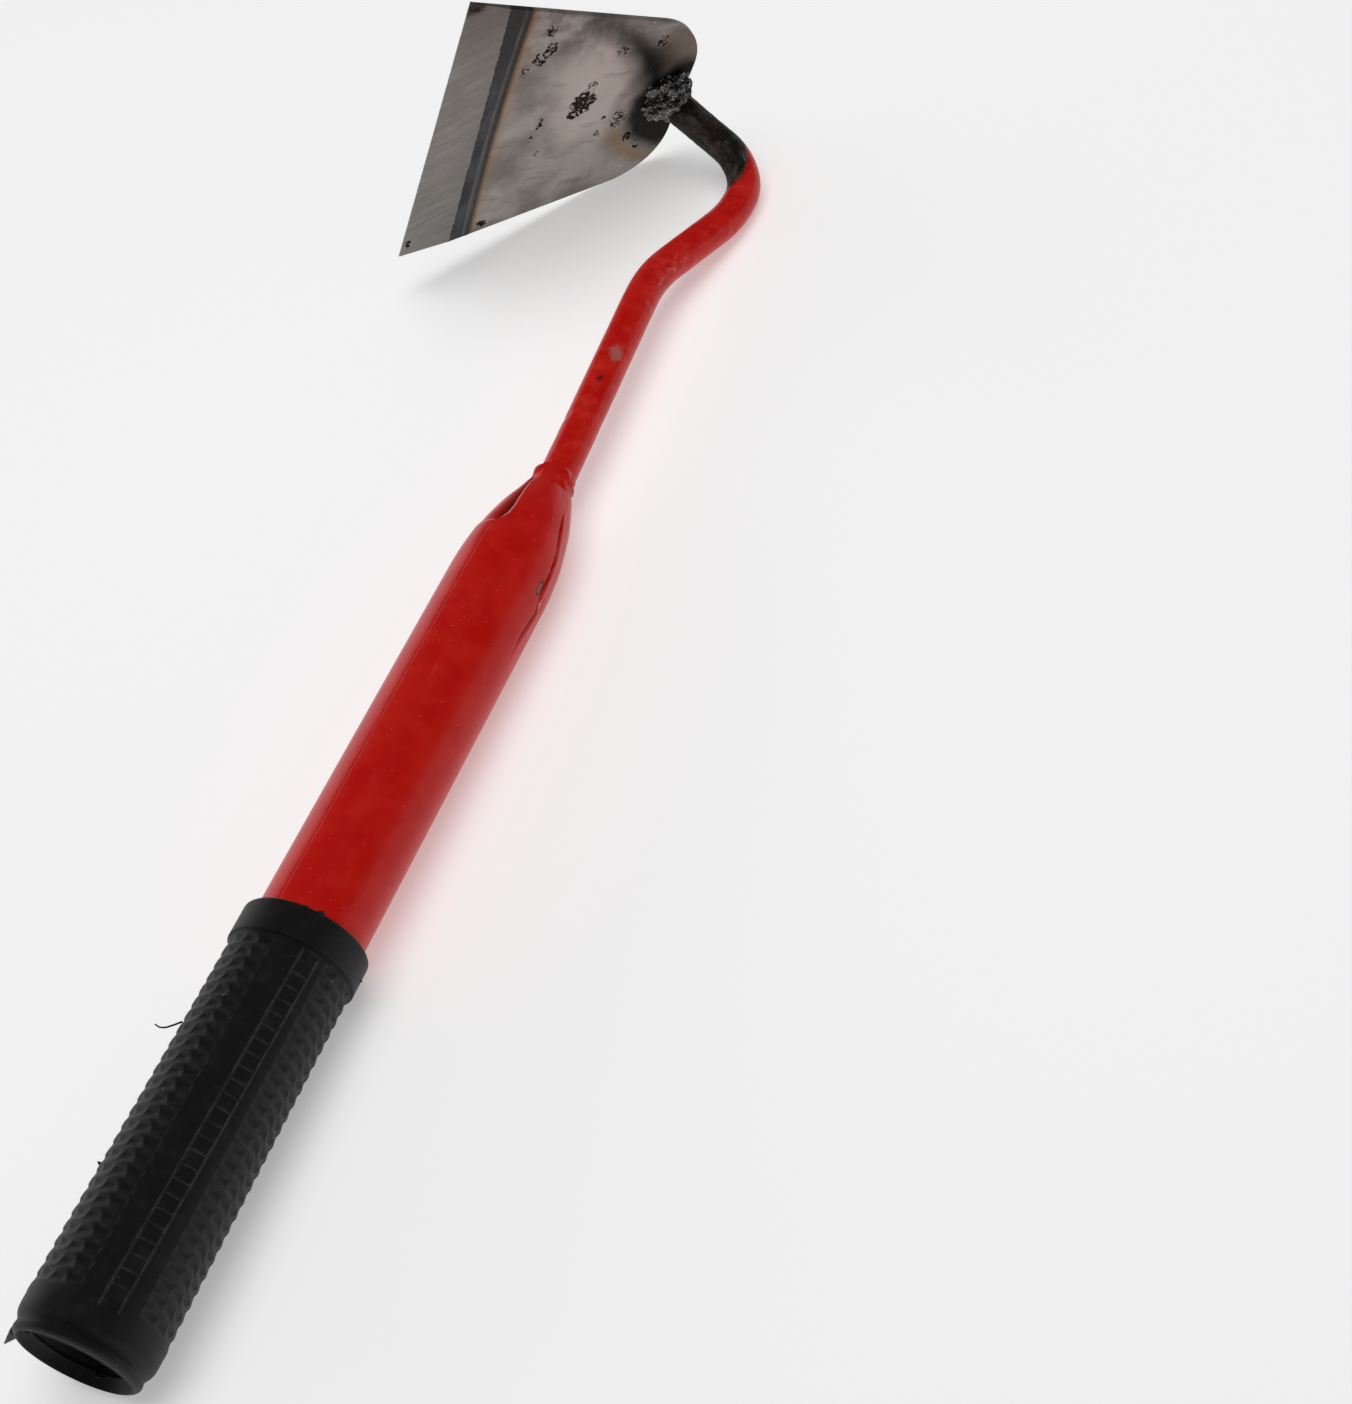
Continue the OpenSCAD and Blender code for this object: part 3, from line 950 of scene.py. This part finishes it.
def pocket(angle, y):
    """How far a moulded pocket goes in at a place, and how much painted highlight goes near its crest."""
    a = (angle + 145) % 360 - 145
    fade = ease(BODY_REAR + 0.5, BODY_REAR + 3.5, y) * ease(BODY_FRONT - 0.3, BODY_FRONT - 1.5, y)
    for low, high, count in POCKET_SIDES:
        if low < a < high:
            column = (a - low) / (high - low) * count
            # Each column sits a little out of step with the next
            row = (y - BODY_REAR) / POCKET + 0.10 * math.sin(math.floor(column) * 2.4)
            across = math.cos(((column % 1) - 0.5) * math.pi) ** 0.7
            v = row % 1
            deep = ease(CREST, 0.0, v) if v < CREST else ease(CREST, 1.0, v)
            # Painted highlight on each pocket near its crest
            wear_and_highlight = across * bump_at(v, CREST - 0.12, 0.13) * fade
            inward = -POCKET_DEPTH * (0.25 + 0.75 * across) * deep * fade - 0.10 * fade * (1 - across)
            return inward, wear_and_highlight
    return 0.0, 0.0


def from_rung(y):
    """How far a place is from the nearest rung of the ladder."""
    rung = (y - RUNGS_FROM) / POCKET
    return abs(rung - round(rung)) * POCKET


def ladder_lines(angle, y):
    """How far the ladder's fine rails and rungs stand up at a place."""
    off = angle - ladder_centre(y)
    height = 0.0
    if LADDER_ENDS[0] < y < LADDER_ENDS[1]:
        for rail in (-LADDER_HALF, LADDER_HALF):
            height = max(height, 0.22 * bump_at(off, rail, 1.1))
        if abs(off) < LADDER_HALF:
            nearest = abs(y - FRONT_RUNG) if y > RUNGS_FROM + 1 else from_rung(y)
            height = max(height, 0.24 * bump_at(nearest, 0, 0.30)) - 0.12
        # Two small slots at the ladder's rear end
        for slot_y in SLOTS:
            height -= 0.5 * bump_at(y, slot_y, 0.3) * ease(6.0, 4.0, abs(off - 1.0))
    return height


def grip_profile():
    """The grip's outline from inside the collar, along the body, round the rear lip and into the mouth."""
    collar = [
        (16.3, COLLAR_FRONT - 2.0),
        (16.35, COLLAR_FRONT - 0.5),
        (16.7, COLLAR_FRONT - 0.1),
        (17.4, COLLAR_FRONT),
        (18.1, COLLAR_FRONT),
        (18.5, COLLAR_FRONT - 0.15),
        (18.8, COLLAR_FRONT - 0.5),
        (18.9, COLLAR_FRONT - 1.0),
    ]
    collar += [(18.9, y) for y in steps(COLLAR_FRONT - 1.5, BODY_FRONT + 0.6, 1.0)]
    collar += [(18.9, BODY_FRONT + 0.5), (18.85, BODY_FRONT + 0.25)]
    collar += [(18.6, BODY_FRONT + 0.1), (18.25, BODY_FRONT + 0.02)]
    body = []
    y = BODY_FRONT
    # Rings lie closer together at each rung
    while y > BODY_REAR:
        y -= 0.16 if from_rung(y) < 0.4 else 0.5
        if y > BODY_REAR + 0.2:
            body.append((along_line(BODY_R, y), y))
    rear = [(18.75, BODY_REAR), (LIP_R, BODY_REAR - 0.4)]
    for i in range(0, 13):
        a = math.radians(90 * i / 12)
        dip = 0.85 * bump_at(i, 4.8, 1.6)
        rear.append((LIP_R - LIP_IN * (1 - math.cos(a)) - dip, LIP_FRONT - LIP_BACK * math.sin(a)))
    rear += [(16.15, GRIP_END), (15.95, -134.1), (15.75, -133.7), (15.4, -132.8), (14.9, -131.9)]
    rear += [(14.3, -131.1), (14.1, -130.85), (14.15, -130.72), (16.15, -130.72), (16.18, -128)]
    return collar + body + rear


def grip():
    bm = turn_profile(grip_profile(), 260)
    crest_highlight = bm.verts.layers.float.new("crest_highlight")
    for v in bm.verts:
        y = v.co.y
        part = (angle_of(v.co) % 360) / 360
        if part < FINE_SHARE:
            a = part * FINE_RATE
        else:
            a = FINE_SWEEP + (part - FINE_SHARE) * (360 - FINE_SWEEP) / (1 - FINE_SHARE)
        a -= LADDER_TURN
        r = math.hypot(v.co.x, v.co.z)
        if BODY_REAR < y < BODY_FRONT:
            inward, wear_and_highlight = pocket(a, y)
            raised = ladder_lines(a, y)
            r += inward + raised
            # Painted highlight on the pockets' crests and on the ladder's raised rails and rungs
            v[crest_highlight] = max(0.55 * wear_and_highlight, 0.75 * ease(0.0, 0.10, raised))
        r += 0.05 * rough(v.co.x, y, v.co.z, 9.0, 3)
        # The lip leans in over the mouth on the side that faces up
        near = max(0.0, math.cos(math.radians(a - 12)))
        if y < LIP_FRONT:
            outer = r > 15.96
            r -= near * (1.15 * (LIP_R - r) if outer else (r - 13.3) * ease(-130.7, -131.6, y))
        if y > BODY_FRONT and r > 17:
            r += 0.10 * bump_at(y, BODY_FRONT + 0.9, 0.5)
        v.co = spot_round(min(r, COLLAR_R), a, y)
    bmesh.ops.recalc_face_normals(bm, faces=bm.faces)
    return finish_piece("moulded_grip", bm, "rubber_grip", rubber(), sharp=60)


def rubber():
    f = Finish("black_moulded_rubber")
    spot = f.local(HANDLE)
    dust = f.cloud(spot, 5.0, 6.0, 0.65)
    body = f.blend(dust.rise(0.45, 0.75), colour(22, 22, 23), colour(33, 33, 34))
    patchy = f.cloud(spot, 2.5, 3.0).rise(0.38, 0.62)
    # Painted highlight: lighter grey, patchy, on the crests and the ladder's raised lines
    body = f.blend(f.kept_value("crest_highlight") * (0.35 + patchy * 0.4), body, colour(66, 66, 67))
    fleck = f.cells(spot, 5.0).rise(0.05, 0.03) * f.cloud(spot, 20.0, 2.0).rise(0.45, 0.6)
    body = f.blend(fleck * 0.8, body, colour(170, 168, 164))
    fine = f.cloud(spot, 0.5, 3.0)
    return f.surface(
        Base_Color=body,
        Roughness=0.44 + dust * 0.12,
        IOR=RUBBER_IOR,
        Normal=f.bump(fine * 0.6 + dust, 0.05),
    )


# ---------------------------------------------------------------- torn film under the grip
# The longer tears past the collar, as (angle, half width, reach)
TEARS = (
    (-92, 9, 3.4),
    (-62, 7, 0.9),
    (-40, 8, 0.6),
    (-12, 6, 0.9),
    (4, 5, 1.1),
    (24, 7, 0.8),
    (168, 22, 2.6),
    (196, 14, 3.4),
    (215, 7, 4.6),
    (232, 9, 2.0),
)
TORN_ROWS = 12


def film_edge(angle):
    """How far the torn film reaches past the collar."""
    a = (angle + 180) % 360 - 180
    torn = 0.4 + 0.35 * rough(a * 0.16, 2, 0, 3.0, 4)
    for at, wide, reach in TEARS:
        for turn in (-360, 0, 360):
            torn += reach * bump_at(a + turn, at, wide)
    return max(0.12, torn + 0.3 * rough(a * 0.4, 7, 1, 2.0, 3))


def film():
    rear = COLLAR_FRONT - 2
    rows = steps(TUBE_END + 0.3, rear, 12) + [rear + i * 2 / TORN_ROWS for i in range(TORN_ROWS + 1)]
    profile = [(TUBE_R - 0.1 + FILM_T, y) for y in rows] + [(TUBE_R + 0.02, COLLAR_FRONT)]
    bm = turn_profile(profile, 420)
    for v in bm.verts:
        a, y = angle_of(v.co), v.co.y
        # The last rows are drawn out past the collar to a torn edge
        if y > rear:
            y += (y - COLLAR_FRONT + 2) / 2 * film_edge(a)
        r = math.hypot(v.co.x, v.co.z)
        if y > COLLAR_FRONT - 1:
            lumps = 0.07 * (1 + rough(v.co.x, y, v.co.z, 1.5)) * ease(0, 0.4, r - TUBE_R - 0.02)
            r = max(TUBE_R + 0.01, r) + lumps
        v.co = spot_round(r, a, y)
    bmesh.ops.recalc_face_normals(bm, faces=bm.faces)
    return finish_piece("torn_film", bm, "grip_adhesive", adhesive(), sharp=60)


def adhesive():
    f = Finish("black_adhesive_film")
    spot = f.local(HANDLE)
    lumps = f.cloud(spot, 1.4, 5.0)
    return f.surface(
        Base_Color=f.blend(lumps, colour(16, 16, 17), colour(44, 43, 43)),
        Roughness=0.35 + lumps * 0.2,
        Normal=f.bump(lumps, 0.2),
    )


# ---------------------------------------------------------------- flash left on the rubber by its mould
# Routes, as (radius, angle, y) places
HAIR = ((18.2, -82, -45.4), (19.8, -88, -46.6), (21.4, -93, -47.4), (23.0, -96, -47.6), (24.6, -97, -47.2))
TAG = ((16.0, -102, -131.0), (17.4, -107, -132.6), (19.6, -117, -133.6), (23.4, -128, -134.0))
HOOK = ((14.2, 160, -129.4), (13.9, 160, -131.0), (14.2, 158, -131.8), (14.5, 151, -131.6))
NUBS = (((18.6, 80, -13.0), (19.3, 82, -12.6)), ((18.5, -88, -88.0), (19.3, -90, -87.6)))


def strand(bm, route, start_r, end_r, flat=1.0):
    """Draws a thin string of rubber out along a route of (radius, angle, y) places."""
    stops = [spot_round(*stop) for stop in route]
    count = 6 * (len(stops) - 1)
    places = []
    for i in range(count + 1):
        part = i / count * (len(stops) - 1)
        low = min(int(part), len(stops) - 2)
        ahead = stops[low + 1] - stops[low]
        r = start_r + (end_r - start_r) * i / count
        places.append((stops[low] + ahead * (part - low), ahead.normalized(), r))
    ring = bmesh.ops.create_circle(bm, segments=8, radius=1, cap_ends=True)["verts"]
    shape = [v.co.copy() for v in ring]
    for i, (at, along, r) in enumerate(places):
        if i:
            linked = {e for v in ring for e in v.link_edges}
            ends = [e for e in linked if all(v in ring for v in e.verts)]
            grown = bmesh.ops.extrude_edge_only(bm, edges=ends)["geom"]
            new = [g for g in grown if isinstance(g, bmesh.types.BMVert)]
            ring = [min(new, key=lambda n: (n.co - v.co).length) for v in ring]
        turn = along.to_track_quat("Z", "Y").to_matrix()
        for v, (x, y, _) in zip(ring, shape):
            v.co = at + turn @ Vector((x * r * flat, y * r, 0))
    bmesh.ops.holes_fill(bm, edges=[e for e in bm.edges if e.is_boundary], sides=0)


def flash():
    bm = bmesh.new()
    strand(bm, HAIR, 0.30, 0.20)
    strand(bm, TAG, 2.3, 0.2, flat=0.6)
    strand(bm, HOOK, 0.35, 0.25)
    for nub in NUBS:
        strand(bm, nub, 0.5, 0.2)
    bmesh.ops.recalc_face_normals(bm, faces=bm.faces)
    return finish_piece("mould_flash", bm, None, rubber(), sharp=60)


# ---------------------------------------------------------------- build it
tube()
neck_ring()
bar()
blade_plate()
blade_bead()
film()
grip()
flash()

# ---------------------------------------------------------------- floor, light and camera
scene = bpy.context.scene
FLOOR_HALF = 6
FLOOR_SHADE = 0.85
FLOOR_GLOW = 0.36
WORLD_GLOW = 0.12
CAMERA_SPOT = (0.40469, -0.36342, 0.47229)
CAMERA_TURN = (41.3949, 16.9875, 21.2015)
LENS_MM = 57.59
SENSOR_MM = 36.0


def floor():
    bm = bmesh.new()
    bmesh.ops.create_grid(bm, x_segments=1, y_segments=1, size=FLOOR_HALF)
    mesh = bpy.data.meshes.new("floor")
    bm.to_mesh(mesh)
    bm.free()
    f = Finish("pale_floor")
    pale = (FLOOR_SHADE, FLOOR_SHADE, FLOOR_SHADE, 1)
    glow = {"Emission_Color": (1, 1, 1, 1), "Emission_Strength": FLOOR_GLOW}
    mesh.materials.append(f.surface(Base_Color=pale, Roughness=0.9, **glow))
    made = bpy.data.objects.new("floor", mesh)
    scene.collection.objects.link(made)


def softbox(name, spot, aim, wide, tall, glow, shows=True):
    """A flat lamp. glow is its brightness, so its power follows from its area."""
    lamp = bpy.data.lights.new(name, "AREA")
    lamp.shape, lamp.size, lamp.size_y = "RECTANGLE", wide, tall
    lamp.energy = glow * wide * tall * math.pi
    made = bpy.data.objects.new(name, lamp)
    made.location = spot
    made.rotation_euler = (Vector(aim) - Vector(spot)).to_track_quat("-Z", "Y").to_euler()
    made.visible_glossy = shows
    scene.collection.objects.link(made)


floor()
softbox("overhead", (0.2, 0.1, 1.8), (0, 0, 0), 1.6, 1.6, 2.4, shows=False)
softbox("side", (-1.5, 0.1, 0.36), (0, 0.1, 0.1), 2.4, 0.7, 1.2)

world = bpy.data.worlds.new("studio")
world.use_nodes = True
world.node_tree.nodes["Background"].inputs["Color"].default_value = (1, 1, 1, 1)
world.node_tree.nodes["Background"].inputs["Strength"].default_value = WORLD_GLOW
scene.world = world
scene.view_settings.view_transform = "Standard"
scene.view_settings.look = "None"

lens = bpy.data.cameras.new("camera")
lens.lens, lens.sensor_width = LENS_MM, SENSOR_MM
camera = bpy.data.objects.new("camera", lens)
camera.location = CAMERA_SPOT
camera.rotation_euler = [math.radians(a) for a in CAMERA_TURN]
lens.clip_start = 0.01
scene.collection.objects.link(camera)
scene.camera = camera
